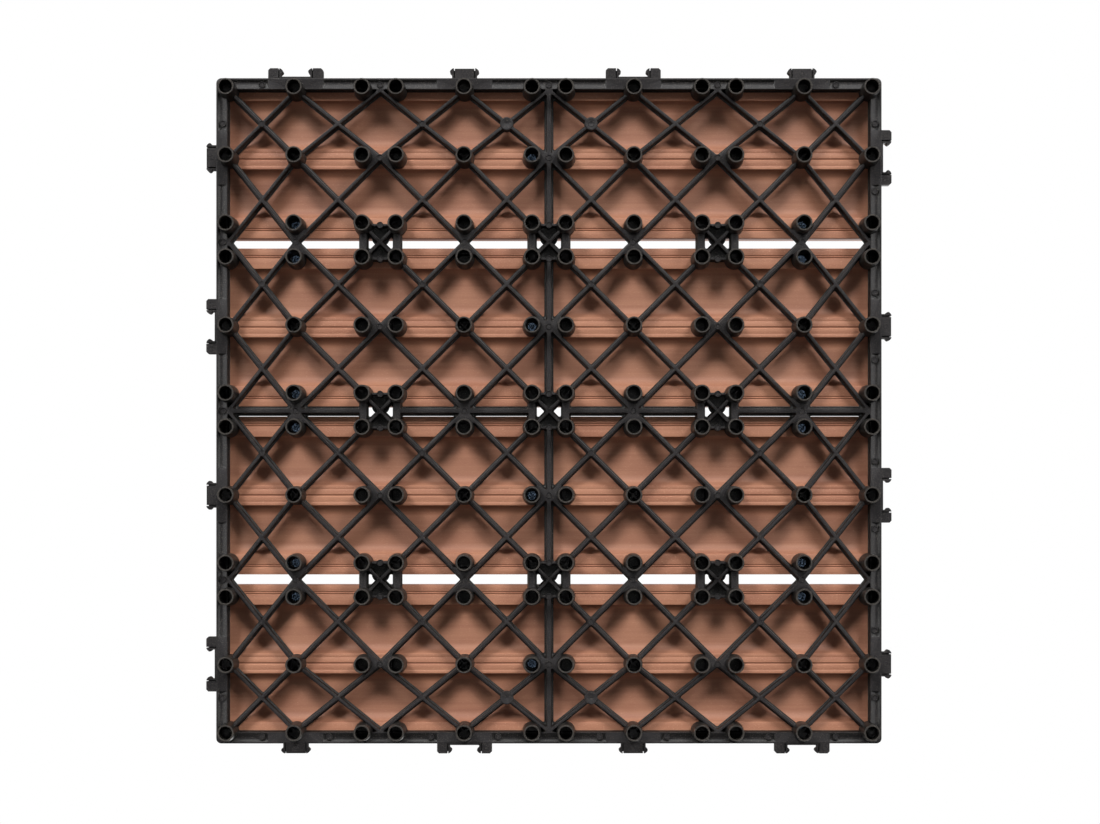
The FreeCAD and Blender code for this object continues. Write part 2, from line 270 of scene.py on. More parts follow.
def turned_steps(radius, z, steps):
    """Points of a turned section, each so many millimetres out from a radius and up from a height."""
    return [(radius + out * MM, z + up * MM) for out, up in steps]


class Shell:
    """Points and faces of one piece while it is put together."""

    def __init__(self):
        self.points = []
        self.faces = []

    def ring(self, outline, z):
        """Adds a ring of points at one height and gives their numbers."""
        first = len(self.points)
        self.points += [(x, y, z) for x, y in outline]
        return list(range(first, len(self.points)))

    def wall(self, low, high):
        """Faces between two rings of equal length; beside a pole they have three corners."""
        for index in range(len(low)):
            after = (index + 1) % len(low)
            corners = [low[index], low[after], high[after], high[index]]
            self.faces.append(tuple(dict.fromkeys(corners)))

    def stack(self, rings):
        """Walls between each ring and the next."""
        for low, high in zip(rings, rings[1:]):
            self.wall(low, high)

    def pit(self, rings):
        """Walls between rings, closed by a face on the last."""
        self.stack(rings)
        self.faces.append(tuple(rings[-1]))

    def plate(self, outline, z_low, z_high, bevel):
        """Closed plate on an outline, its upper and lower edges bevelled."""
        small = inset(outline, [bevel] * len(outline))
        rings = [self.ring(small, z_low), self.ring(outline, z_low + bevel),
                 self.ring(outline, z_high - bevel), self.ring(small, z_high)]
        self.faces.append(tuple(reversed(rings[0])))
        self.pit(rings)

    def lathe(self, section, sides, x=0.0, y=0.0):
        """Round solid about an upright axis from (radius, z) points; radius 0 makes a pole."""
        turns = [2 * math.pi * (step + 0.5) / sides for step in range(sides)]
        rings = []
        for radius, z in section:
            circle = [(x + radius * math.cos(turn), y + radius * math.sin(turn)) for turn in turns]
            rings.append(self.ring(circle, z) if radius else self.ring([(x, y)], z) * sides)
        self.stack(rings)

    def mesh(self, name, open_heights=()):
        """Finished mesh. Open rims at the heights named are joined by flat faces with holes."""
        body = bmesh.new()
        corners = [body.verts.new(point) for point in self.points]
        for face in self.faces:
            body.faces.new([corners[number] for number in face])
        for face in body.faces:
            face.smooth = True
        for z in open_heights:
            rims = [edge for edge in body.edges
                    if edge.is_boundary and all(abs(corner.co.z - z) < SAME for corner in edge.verts)]
            filled = bmesh.ops.triangle_fill(body, use_beauty=True, edges=rims, normal=(0, 0, 1))
            for face in [item for item in filled["geom"] if isinstance(item, bmesh.types.BMFace)]:
                face.smooth = False
        bmesh.ops.recalc_face_normals(body, faces=body.faces)
        return finished_mesh(body, name, sharp_degrees=32)


def finished_mesh(body, name, sharp_degrees):
    """Mesh of a bmesh, with its edges sharp from an angle on."""
    made = bpy.data.meshes.new(name)
    body.to_mesh(made)
    body.free()
    made.set_sharp_from_angle(angle=math.radians(sharp_degrees))
    return made


def new_object(name, data):
    """Object with its mesh, lamp or camera, in the scene."""
    made = bpy.data.objects.new(name, data)
    bpy.context.scene.collection.objects.link(made)
    return made


def finish_piece(piece, material, slot, *nodes):
    """Gives a piece its material and body, and lets it stand for its CAD nodes."""
    if len(piece.data.polygons) == 0:
        raise RuntimeError(piece.name + " has no faces")
    piece.data.materials.clear()
    piece.data.materials.append(material)
    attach(piece, "root")
    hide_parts(*nodes)


# Geometry Nodes


def new_tree(name, sockets):
    """Geometry Nodes tree with one geometry output, what adds its nodes and what its named inputs give."""
    tree = bpy.data.node_groups.new(name, "GeometryNodeTree")
    tree.interface.new_socket("Geometry", in_out="OUTPUT", socket_type="NodeSocketGeometry")
    for label, kind in sockets.items():
        tree.interface.new_socket(label, in_out="INPUT", socket_type="NodeSocket" + kind)
    add = partial(add_node, tree)
    return tree, add, add("NodeGroupInput").outputs


def finish_tree(add, given, where):
    """Sets the shape where it belongs, makes the copies real, gives them the material and ends the tree."""
    shape = add("GeometryNodeObjectInfo", {"Object": given["Shape"], "As Instance": True})
    placed = add("GeometryNodeInstanceOnPoints", {"Instance": shape.outputs["Geometry"], **where})
    solid = add("GeometryNodeRealizeInstances", {"Geometry": placed})
    painted = add("GeometryNodeSetMaterial", {"Geometry": solid, "Material": given["Material"]})
    add("NodeGroupOutput", {"Geometry": painted})


def repeat_tree():
    """One shape set at every point of the piece's own mesh, each turned by chance about its upright axis."""
    tree, add, given = new_tree("Shape at each point", {
        "Points": "Geometry", "Shape": "Object", "Most Turn": "Float", "Seed": "Int", "Material": "Material"})
    turn = add("FunctionNodeRandomValue", {"Max": given["Most Turn"], "Seed": given["Seed"]},
               data_type="FLOAT")
    angles = add("ShaderNodeCombineXYZ", {"Z": turn})
    finish_tree(add, given, {"Points": given["Points"], "Rotation": angles})
    return tree


def feet_tree():
    """One foot at three by three points in every cell of the lattice."""
    tree, add, given = new_tree("Feet in each cell", {
        "Shape": "Object", "Cell Pitch": "Float", "Cells": "Int", "Row Offset": "Float",
        "Material": "Material"})
    last = add("ShaderNodeMath", [given["Cells"], 1.0], operation="SUBTRACT")
    reach = add("ShaderNodeMath", [given["Cell Pitch"], last], operation="MULTIPLY")
    cells = add("GeometryNodeMeshGrid", [reach, reach, given["Cells"], given["Cells"]])
    across = add("ShaderNodeMath", [given["Row Offset"], 2.0], operation="MULTIPLY")
    rows = add("GeometryNodeMeshGrid", [across, across, 3, 3])
    spread = add("GeometryNodeInstanceOnPoints", {"Points": cells, "Instance": rows})
    places = add("GeometryNodeRealizeInstances", {"Geometry": spread})
    finish_tree(add, given, {"Points": places})
    return tree


def repeated(name, places, tree, shape_mesh, values):
    """Piece whose mesh a tree makes from one shape; the tree and the shape are then no longer needed."""
    points = bpy.data.meshes.new(name)
    points.from_pydata(places, [], [])
    piece = new_object(name, points)
    shape = new_object(name + "_shape", shape_mesh)
    modifier = piece.modifiers.new("Repeat", "NODES")
    modifier.node_group = tree
    values = dict(values, Shape=shape)
    for item in tree.interface.items_tree:
        if item.in_out == "INPUT" and item.name in values:
            modifier[item.identifier] = values[item.name]
    depsgraph = bpy.context.evaluated_depsgraph_get()
    made = bpy.data.meshes.new_from_object(piece.evaluated_get(depsgraph))
    piece.modifiers.clear()
    piece.data = made
    made.name = name
    bpy.data.objects.remove(shape)
    return piece


# Materials. A range node takes a value, the two ends it comes from and the two ends it goes to.


def new_material(name):
    """Empty node material, and what adds its nodes."""
    material = bpy.data.materials.new(name)
    material.use_nodes = True
    material.node_tree.nodes.clear()
    return material, partial(add_node, material.node_tree)


def moulded_polypropylene(base):
    """Satin black injection-moulded plastic with pale dust, and painted highlights on the rib tips and the
    foot rims.
    """
    found = bpy.data.materials.get("moulded_polypropylene")
    if found:
        return found
    material, add = new_material("moulded_polypropylene")
    place = add("ShaderNodeTexCoord").outputs["Object"]
    # Flow marks from filling the mould, some 20 mm across, shift the tone and the gloss a little.
    flow = add("ShaderNodeTexNoise", {"Vector": place, "Scale": 50.0, "Detail": 3.0})
    tone = add("ShaderNodeMapRange", [flow, 0.3, 0.7, 0.8, 1.25])
    gloss = add("ShaderNodeMapRange", [flow, 0.3, 0.7, 0.38, 0.5])
    shaded = add("ShaderNodeMix", {"Factor": 1.0, "A": base.plastic, "B": tone},
                 data_type="RGBA", blend_type="MULTIPLY")
    # Painted highlight: faces that look down are painted paler, the rib tips more than the hollows above.
    facing = add("ShaderNodeSeparateXYZ", [add("ShaderNodeNewGeometry").outputs["Normal"]])
    height = add("ShaderNodeSeparateXYZ", [place])
    down = add("ShaderNodeMapRange", [facing.outputs["Z"], -0.99, -0.88, 1.0, 0.0])
    near_tip_level = add("ShaderNodeMapRange", [height.outputs["Z"], 0.0156, 0.0225, 1.0, 0.0])
    highlight_mask = add("ShaderNodeMath", [down, near_tip_level], operation="MULTIPLY")
    tip_highlighted = add("ShaderNodeMix", {"Factor": highlight_mask, "A": shaded, "B": base.plastic_painted_highlight},
                 data_type="RGBA")
    # Painted highlight on the foot rims: the lowest half millimetre is painted paler, in patches about 1 mm
    # across.
    low = add("ShaderNodeMapRange", [height.outputs["Z"], 0.0003, 0.0008, 1.0, 0.0])
    rim_patches = add("ShaderNodeTexNoise", {"Vector": place, "Scale": 900.0, "Detail": 4.0})
    patchy = add("ShaderNodeMapRange", [rim_patches, 0.35, 0.62])
    rim = add("ShaderNodeMath", [low, patchy], operation="MULTIPLY")
    # Specks of pale dust, up to half a millimetre.
    specks = add("ShaderNodeTexNoise", {"Vector": place, "Scale": 1300.0, "Detail": 0.0})
    dust = add("ShaderNodeMapRange", [specks, 0.66, 0.71, 0.0, 0.9])
    # Pale dust and the painted rim highlight share one colour.
    dust_and_rim_highlight = add("ShaderNodeMath", [rim, dust], operation="MAXIMUM")
    coloured = add("ShaderNodeMix", {"Factor": dust_and_rim_highlight, "A": tip_highlighted, "B": base.plastic_dust_and_rim_highlight}, data_type="RGBA")
    # Spark-eroded mould texture, about 0.2 mm between grains, drawn at 0.5 mm so that it shows.
    grain = add("ShaderNodeTexNoise", {"Vector": place, "Scale": 2000.0, "Detail": 2.0})
    bump = add("ShaderNodeBump", {"Height": grain, "Strength": 0.25, "Distance": 0.0001})
    shader = add("ShaderNodeBsdfPrincipled", {
        "Base Color": coloured, "Roughness": gloss, "Normal": bump, "IOR": 1.49, "Specular IOR Level": 0.22})
    add("ShaderNodeOutputMaterial", [shader])
    return material


def extruded_composite(boards):
    """Wood-plastic composite: matt, streaked along the extrusion and flecked with pale wood fibres."""
    material, add = new_material("extruded_wood_plastic_composite")
    place = add("ShaderNodeTexCoord").outputs["Object"]
    # Streaks of uneven mixing run along X: some 150 mm long and 3 mm across.
    along = add("ShaderNodeMapping", {"Vector": place, "Scale": (7.0, 330.0, 330.0)})
    streak = add("ShaderNodeTexNoise", {"Vector": along, "Scale": 1.0, "Detail": 4.0})
    # Soft clouds of tone about 60 mm across.
    cloud = add("ShaderNodeTexNoise", {"Vector": place, "Scale": 16.0, "Detail": 2.0})
    mixed = add("ShaderNodeMath", [streak, cloud], operation="ADD")
    spread = add("ShaderNodeMapRange", [mixed, 0.6, 1.4])
    body = add("ShaderNodeMix", {"Factor": spread, "A": boards.composite_dark, "B": boards.composite},
               data_type="RGBA")
    # Painted light and shade: the strips that the base bears on are painted a paler tone with more pale
    # fibres, and the scallops darker.
    height = add("ShaderNodeSeparateXYZ", [place])
    land = add("ShaderNodeMapRange", [height.outputs["Z"], 0.0252, 0.026, 1.0, 0.0])
    land_painted_tone = add("ShaderNodeMapRange", [land, 0.0, 1.0, 0.86, 1.08])
    with_painted_shade = add("ShaderNodeMix", {"Factor": 1.0, "A": body, "B": land_painted_tone},
                data_type="RGBA", blend_type="MULTIPLY")
    # Wood fibres, about 2 mm long and 0.4 mm thick.
    fibre_space = add("ShaderNodeMapping", {"Vector": place, "Scale": (500.0, 2200.0, 2200.0)})
    fibre = add("ShaderNodeTexNoise", {"Vector": fibre_space, "Scale": 1.0, "Detail": 2.0})
    fleck = add("ShaderNodeMapRange", [fibre, 0.6, 0.72])
    # Painted light: more pale fibres on the lands than in the scallops.
    painted_land_flecks = add("ShaderNodeMapRange", [land, 0.0, 1.0, 0.25, 0.8])
    flecks = add("ShaderNodeMath", [fleck, painted_land_flecks], operation="MULTIPLY")
    coloured = add("ShaderNodeMix", {"Factor": flecks, "A": with_painted_shade, "B": boards.composite_light},
                   data_type="RGBA")
    # Die lines along X, a millimetre apart, and the fibres stand a few hundredths of a millimetre proud.
    line_space = add("ShaderNodeMapping", {"Vector": place, "Scale": (3.0, 1000.0, 1000.0)})
    die_lines = add("ShaderNodeTexNoise", {"Vector": line_space, "Scale": 1.0, "Detail": 1.0})
    relief = add("ShaderNodeMath", [die_lines, fibre], operation="ADD")
    bump = add("ShaderNodeBump", {"Height": relief, "Strength": 0.5, "Distance": 0.0001})
    shader = add("ShaderNodeBsdfPrincipled", {
        "Base Color": coloured, "Normal": bump, "Roughness": 0.62, "IOR": 1.5})
    add("ShaderNodeOutputMaterial", [shader])
    return material


def coated_steel(screws):
    """Blue-black coated steel, glossy with a fine wear of the coating."""
    material, add = new_material("blue_black_coated_steel")
    place = add("ShaderNodeTexCoord").outputs["Object"]
    # Tumbling marks from coating in bulk, half a millimetre across.
    marks = add("ShaderNodeTexNoise", {"Vector": place, "Scale": 2000.0, "Detail": 3.0})
    gloss = add("ShaderNodeMapRange", [marks, 0.0, 1.0, 0.12, 0.34])
    tone = add("ShaderNodeMapRange", [marks, 0.0, 1.0, 0.8, 1.3])
    coloured = add("ShaderNodeMix", {"Factor": 1.0, "A": screws.steel, "B": tone},
                   data_type="RGBA", blend_type="MULTIPLY")
    # Shallow dents from knocks, about 1.5 mm across.
    dents = add("ShaderNodeTexNoise", {"Vector": place, "Scale": 700.0, "Detail": 1.0})
    bump = add("ShaderNodeBump", {"Height": dents, "Strength": 0.8, "Distance": 0.0005})
    shader = add("ShaderNodeBsdfPrincipled", {
        "Base Color": coloured, "Roughness": gloss, "Normal": bump, "Metallic": 1.0})
    add("ShaderNodeOutputMaterial", [shader])
    return material


# The base


def cell_centres(base):
    """Middle of each cell along one axis."""
    return [base.cell_pitch * (index + 0.5 - CELLS / 2) for index in range(CELLS)]


def cell_borders(base):
    """Lines between one cell and the next, along one axis."""
    return [base.cell_pitch * step for step in range(1 - CELLS // 2, CELLS // 2)]


def heights(base):
    """Heights of the rib tips, of the flanges' lower faces and of the boards' seat."""
    seat_z = base.base_height
    return seat_z - base.rib_height, seat_z - base.flange_thickness, seat_z


def half_side(base):
    """Half the side of the frame."""
    return (base.cell_pitch * CELLS - base.joint_gap) / 2


def cluster_reach(base):
    """From a cell's corner to the rows of feet beside it."""
    return base.joint_gap / 2 + base.foot_row_inset


def foot_offset(base):
    """From a cell's middle to its outer rows of feet."""
    return base.cell_pitch / 2 - cluster_reach(base)


def lattice_lines(base):
    """Lines through the tips of the lattice's diamonds, along one axis."""
    outer = cell_centres(base)[-1] + foot_offset(base)
    inner = [base.cell_pitch / 2 * index for index in range(1 - CELLS, CELLS)]
    return [-outer] + inner + [outer]


def among(value, values):
    """Whether a value is one of some values, but for rounding."""
    return any(abs(value - other) < SAME for other in values)


def end_cut(base, x, y, cluster_kind):
    """How far an opening stays from its tip at a crossing, and the kind of side there."""
    if among(y, cell_borders(base)):
        if among(x, cell_borders(base)):
            return cluster_reach(base), cluster_kind
        if among(x, cell_centres(base)):
            return base.web_reach, "web"
    return 0.0, "rib"


def lattice_windows(base):
    """Outline and kinds of side of every opening of the lattice."""
    lines = lattice_lines(base)
    last = len(lines) - 1
    middle = [(a + b) / 2 for a, b in zip(lines, lines[1:])]
    windows = []
    for family, cut in enumerate(("wall", "bar")):
        for low, high in zip(lines, lines[1:]):
            centre = (low + high) / 2
            for column, x in enumerate(lines):
                before = (middle[column - 1], centre) if column > 0 else None
                after = (middle[column], centre) if column < last else None
                found = []
                if before and after and x != 0:
                    found.append(([(x, low), after, (x, high), before], ["rib"] * 4))
                else:
                    edge = "spine" if x == 0 else "frame"
                    if before:
                        found.append(([(x, low), (x, high), before], [edge, "rib", "rib"]))
                    if after:
                        found.append(([(x, high), (x, low), after], [edge, "rib", "rib"]))
                for points, kinds in found:
                    for direction, y in ((1, low), (-1, high)):
                        reach, kind = end_cut(base, x, y, cut)
                        if reach > 0:
                            points, kinds = clipped(points, kinds, direction, direction * y + reach, kind)
                    windows.append((quarter_turned(points, family), kinds, False))
    return windows


def cluster_windows(base):
    """Openings inside each cluster: through beside its bars, closed by the plate beside its walls."""
    reach = cluster_reach(base)
    windows = []
    for x in cell_borders(base):
        for y in cell_borders(base):
            for turn in range(4):
                kind = "bar" if turn % 2 == 0 else "wall"
                triangle = quarter_turned([(0, 0), (reach, -reach), (reach, reach)], turn)
                outline = [(x + across, y + up) for across, up in triangle]
                windows.append((outline, ["cross", kind, "cross"], kind == "wall"))
    return windows


def window_levels(base):
    """Height, corner radius and insets of each level up to the seat, and how many are below the flanges."""
    tip_z, flange_z, seat_z = heights(base)
    outer = lattice_lines(base)[-1]
    frame_tip = outer - (half_side(base) - base.frame_width)
    frame_root = frame_tip + base.frame_draft
    tip, root, flange = base.rib_tip_width / 2, base.rib_root_width / 2, base.rib_flange_width / 2
    # Each step: height, corner radius, then how far in a rib's side, the frame's, a bar's and a wall's stand.
    rib_steps = [
        (tip_z, 1.1, tip - 0.35 * MM, frame_tip - 0.35 * MM, 2.6, 0.7),
        (tip_z + 0.1 * MM, 1.0, tip - 0.1 * MM, frame_tip - 0.1 * MM, 2.9, 0.9),
        (tip_z + 0.4 * MM, 1.0, tip, frame_tip, 3.0, 1.0),
        (flange_z - 0.6 * MM, 1.6, root, frame_root, 3.9, 1.3),
        (flange_z - 0.2 * MM, 1.8, root + 0.1 * MM, frame_root + 0.1 * MM, 4.0, 1.4),
        (flange_z, 2.0, root + 0.35 * MM, frame_root + 0.3 * MM, 4.1, 1.5),
    ]
    flange_steps = [
        (flange_z, 1.2, flange - 0.25 * MM, frame_root + 0.4 * MM, 4.2, 1.6),
        (flange_z + 0.25 * MM, 1.0, flange, frame_root + 0.5 * MM, 4.3, 1.7),
        (seat_z - 0.15 * MM, 1.0, flange, frame_root + 0.5 * MM, 4.3, 1.7),
        (seat_z, 1.1, flange - 0.12 * MM, frame_root + 0.4 * MM, 4.2, 1.6),
    ]
    flange_extra = base.spine_flange_width - base.rib_flange_width
    levels = []
    for steps, extra in ((rib_steps, base.spine_extra_width), (flange_steps, flange_extra)):
        for z, radius, rib, side, bar, wall in steps:
            insets = {"rib": rib, "spine": rib + extra / 2, "frame": side, "bar": bar * MM, "wall": wall * MM,
                      "cross": rib, "web": (wall - 1.0) * MM}
            levels.append((z, radius * MM, insets))
    return levels, len(rib_steps)


def trough_outlines(base):
    """Rings of the shallow hollows along the frame, from the rim to the floor, for every stretch."""
    outer = lattice_lines(base)[-1]
    side = half_side(base)
    # The hollows stop short of the corners and of the clips.
    corner_room, clip_room = 2 * MM, 24 * MM
    stops = [-outer + corner_room]
    for centre in cell_centres(base):
        stops += [centre - clip_room, centre + clip_room]
    stops.append(outer - corner_room)
    stretches = []
    for low, high in zip(stops[0::2], stops[1::2]):
        for turn in range(4):
            rings = []
            for ends, near, far, depth in ((0, 1.5, 9.3, 0), (0.25, 1.75, 9.05, 0.12), (1.2, 3.2, 5.6, 1.7),
                                           (1.6, 3.6, 5.2, 1.8)):
                box = rectangle(low + ends * MM, -side + near * MM, high - ends * MM, -side + far * MM)
                rings.append((rounded(quarter_turned(box, turn), 0.8 * MM, steps=3), depth * MM))
            stretches.append(rings)
    return stretches


def lattice_mesh(base):
    """Frame, ribs and spines as one closed skin."""
    shell = Shell()
    tip_z, _, seat_z = heights(base)
    side = half_side(base)
    outside = []
    for z, step in ((tip_z, 0.4), (tip_z + 0.12 * MM, 0.12), (tip_z + 0.4 * MM, 0), (seat_z - 0.15 * MM, 0),
                    (seat_z, 0.12)):
        outline = inset(rectangle(-side, -side, side, side), [step * MM] * 4)
        outside.append(shell.ring(rounded(outline, base.corner_radius - step * MM, steps=6), z))
    shell.stack(outside)
    levels, rib_levels = window_levels(base)
    for points, kinds, blind in lattice_windows(base) + cluster_windows(base):
        rings = []
        for z, radius, insets in levels[:rib_levels] if blind else levels:
            outline = rounded(inset(points, [insets[kind] for kind in kinds]), radius, steps=3)
            rings.append(shell.ring(outline, z))
        if blind:
            shell.pit(rings)
        else:
            shell.stack(rings)
    for stretch in trough_outlines(base):
        shell.pit([shell.ring(outline, tip_z + depth) for outline, depth in stretch])
    return shell.mesh("base_lattice", (tip_z, seat_z))


def foot_floor(base):
    """Height of the closed end inside a foot."""
    return base.base_height - base.foot_end_thickness


def foot_mesh(base):
    """One hollow foot with a rounded lip, closed under the board."""
    shell = Shell()
    mouth, bore = base.foot_mouth_radius, base.foot_bore_radius
    top = base.base_height - 0.05 * MM
    section = [(0, top), (base.foot_root_radius, top)]
    section += turned_steps(mouth, 0, [(0.25, 4), (0, 1.6), (0, 0.45), (-0.35, 0)])
    section += turned_steps(bore, 0, [(0.35, 0), (0, 0.4)])
    section += [(bore - 0.15 * MM, foot_floor(base)), (0, foot_floor(base))]
    shell.lathe(section, base.foot_sides)
    return shell.mesh("foot")


def mark_mesh(base):
    """Round boss left by an ejector pin, with its dish."""
    shell = Shell()
    tip_z, _, seat_z = heights(base)
    radius, top = base.mark_radius, seat_z - 1.2 * MM
    section = [(0, top), (radius, top)]
    section += turned_steps(radius, tip_z, [(0, -0.45), (-0.2, -0.65), (-0.6, -0.65), (-0.95, -0.08)])
    section.append((0, tip_z - 0.06 * MM))
    shell.lathe(section, sides=20)
    return shell.mesh("mark")


def mark_places(base):
    """Ejector marks: crossings between two feet, one crossing in each cell, the clusters and the frame."""
    half = base.cell_pitch / 2
    reach = cluster_reach(base)
    count = CELLS - 1
    lines = lattice_lines(base)
    places = [(half * i, half * j) for i in range(-count, count + 1) for j in range(-count, count + 1)
              if (i + j) % 2]
    firsts = [(low + high) / 2 for low, high in zip(lines[0::2], lines[1::2])]
    places += [(x, y) for x in firsts for y in firsts]
    borders = cell_borders(base)
    places += [(x, y + step) for x in borders for y in borders for step in (-reach, reach)]
    from_side = 6.0 * MM
    line = half_side(base) - from_side
    spots = [centre + sign * foot_offset(base) / 2 for centre in cell_centres(base) for sign in (-1, 1)]
    for side, along in ((line, spots), (-line, [spots[0], spots[-1]] + borders)):
        places += [(spot, side) for spot in along] + [(side, spot) for spot in along]
    return [(x, y, 0) for x, y in places]


def boss_mesh(base):
    """Gate bosses, and the round seat plates over the outer clusters."""
    shell = Shell()
    tip_z, flange_z, seat_z = heights(base)
    crossing = base.cell_pitch / 4
    lines = lattice_lines(base)
    row = (lines[-1] + lines[-2]) / 2
    radius, top = base.gate_boss_radius, seat_z - 1.1 * MM
    section = [(0, top), (radius + 0.5 * MM, top)]
    section += turned_steps(radius, tip_z, [(0.4, -0.1), (0.1, -0.45), (-0.4, -0.6), (-1.0, -0.45)])
    section += turned_steps(0, tip_z, [(1.4, -0.45), (1.1, -0.3), (0, -0.3)])
    for x in (-crossing, crossing):
        for y in (-row, row):
            shell.lathe(section, sides=24, x=x, y=y)
    # The seat plates reach up to just under the boards and lie a little towards -Y.
    section = turned_steps(0, seat_z, [(0, -0.1), (8, -0.1)])
    section += turned_steps(0, flange_z, [(8, 0.15), (7.8, -0.1), (0, -0.1)])
    plate_shift = 5 * MM
    for x in cell_borders(base):
        for y in cell_borders(base):
            if (x, y) != (0, 0):
                shell.lathe(section, sides=28, x=x, y=y - plate_shift)
    return shell.mesh("base_bosses")


def finger(near, far, stand, clip_reach):
    """Sprung finger with its bead, as (distance sideways, distance outwards) points."""
    middle = clip_reach - 3.1 * MM
    bead = [(far + stand * share, middle + out * MM)
            for share, out in ((0, -2.3), (0.8, -1.0), (1, -0.4), (1, 0.5), (0.75, 1.3))]
    return [(near, -CLIP_LAP), (far, -CLIP_LAP), *bead, (far, clip_reach - 0.5 * MM), (near, clip_reach)]


def clip_plate(shell, base, centre, sign, outline, turn, z_low, z_high):
    """Plate of a clip from points measured sideways and outwards, between heights over the rib tips."""
    tip_z = heights(base)[0]
    points = [(centre + sign * across, -half_side(base) - out) for across, out in outline]
    area = sum(x0 * y1 - x1 * y0 for (x0, y0), (x1, y1) in zip(points, points[1:] + points[:1]))
    if area < 0:
        points.reverse()
    shell.plate(quarter_turned(points, turn), tip_z + z_low, tip_z + z_high, bevel=0.22 * MM)


def clip_mesh(base):
    """Male and female clips in turn along all four sides, with their round ejector marks."""
    shell = Shell()
    tip_z = heights(base)[0]
    full = base.clip_height
    reach = base.joint_gap - 0.15 * MM
    half = base.tongue_width / 2
    bead, wall, slot = 1.8 * MM, 1.5 * MM, 0.9 * MM
    prong_far, prong_chamfer = 11.4 * MM, 1.8 * MM
    # A web closes the upper part of each slot and stops short of the slot's mouth.
    web_low, web_reach = 3 * MM, reach - 1.6 * MM
    core = half - wall - slot
    inner = half + bead + 0.15 * MM
    near, far = inner + wall + slot, inner + prong_far
    prong = [(near, -CLIP_LAP), (far, -CLIP_LAP), (far, reach - prong_chamfer), (far - prong_chamfer, reach),
             (near, reach)]
    male_web = rectangle(core - CLIP_LAP, -CLIP_LAP, half - wall + CLIP_LAP, web_reach)
    female_web = rectangle(inner + wall - CLIP_LAP, -CLIP_LAP, near + CLIP_LAP, web_reach)
    # For each kind: plates in its middle, plates on both sides, and where its marks are.
    male = ([(rectangle(-core, -CLIP_LAP, core, reach - 1.4 * MM), 0, 2.4 * MM),
             (rectangle(-core, -CLIP_LAP - 0.02 * MM, core, reach), 2.1 * MM, full)],
            [(finger(half - wall, half, bead, reach), 0, full), (male_web, web_low, full)], [0.0])
    female = ([(rectangle(-inner, -CLIP_LAP, inner, 1.4 * MM), 0, 2 * MM)],
              [(prong, 0, full), (female_web, web_low, full),
               (finger(inner + wall, inner, -bead, reach), 0, full)], [-(near + far) / 2, (near + far) / 2])
    mark_out = reach * 0.45
    mark = turned_steps(0, tip_z, [(0, 3), (2.3, 3), (2.3, 0), (2.15, -0.15), (1.8, -0.15), (1.6, 0.05),
                                   (0, 0.07)])
    for turn in range(4):
        for index, centre in enumerate(cell_centres(base)):
            middle_plates, side_plates, spots = male if index % 2 else female
            for plates, signs in ((middle_plates, (1,)), (side_plates, (-1, 1))):
                for sign in signs:
                    for outline, z_low, z_high in plates:
                        clip_plate(shell, base, centre, sign, outline, turn, z_low, z_high)
            for spot in spots:
                x, y = quarter_turned([(centre + spot, -half_side(base) - mark_out)], turn)[0]
                shell.lathe(mark, sides=16, x=x, y=y)
    return shell.mesh("base_clips")


# The boards and the screws


def board_section(boards, box):
    """Closed section of a board as (y, z) points, from the middle of its underside once round."""
    (_, y_low, z_low), (_, y_high, z_high) = box
    middle, half = (y_low + y_high) / 2, (y_high - y_low) / 2
    land = boards.middle_strip_width / 2
    edge_land = half - boards.edge_strip_width
    points = [(0.0, boards.groove_depth), (boards.groove_width / 2, 0.0)]
    # A hair line runs along the middle land, either side of its groove.
    hair = land - 3.1 * MM
    points += [(hair - 0.5 * MM, 0.0), (hair, 0.2 * MM), (hair + 0.5 * MM, 0.0), (land, 0.0)]
    depth, bend = boards.scallop_depth, boards.scallop_round
    slope = math.acos(1 - depth / bend)
    reach = bend * math.sin(slope)
    steps = 8
    wall = [(bend * math.sin(slope * step / steps), bend * (1 - math.cos(slope * step / steps)))
            for step in range(steps)]
    points += [(land + reach - across, depth - drop) for across, drop in reversed(wall)]
    points += [(edge_land - reach + across, depth - drop) for across, drop in wall]
    points.append((edge_land, 0.0))
    groove = boards.edge_groove_width / 2
    for from_side in (8.5 * MM, 6.8 * MM):
        points += [(half - from_side - groove, 0.0), (half - from_side, boards.edge_groove_depth),
                   (half - from_side + groove, 0.0)]
    points.append((half, 0.0))
    radius = boards.edge_radius
    thickness = z_high - z_low
    arc_steps = 6
    for step in range(arc_steps + 1):
        turn = math.pi / 2 * step / arc_steps
        points.append((half - radius + radius * math.cos(turn), thickness - radius + radius * math.sin(turn)))
    left = [(-y, z) for y, z in reversed(points[1:])]
    return [(middle + y, z_low + z) for y, z in points + left]


def board_mesh(boards, box, name):
    """One board, extruded along X."""
    section = board_section(boards, box)
    body = bmesh.new()
    rings = [[body.verts.new((x, y, z)) for y, z in section] for x in (box[0].x, box[1].x)]
    for index in range(len(section)):
        after = (index + 1) % len(section)
        body.faces.new((rings[0][index], rings[0][after], rings[1][after], rings[1][index]))
    body.faces.new(rings[0])
    body.faces.new(rings[1])
    bmesh.ops.recalc_face_normals(body, faces=body.faces)
    crease = math.radians(26)
    sharp = [edge for edge in body.edges if edge.calc_face_angle() > crease]
    bmesh.ops.bevel(body, geom=sharp, offset=0.3 * MM, segments=2, profile=0.5, affect="EDGES")
    for face in body.faces:
        face.smooth = True
    return finished_mesh(body, name, sharp_degrees=24)


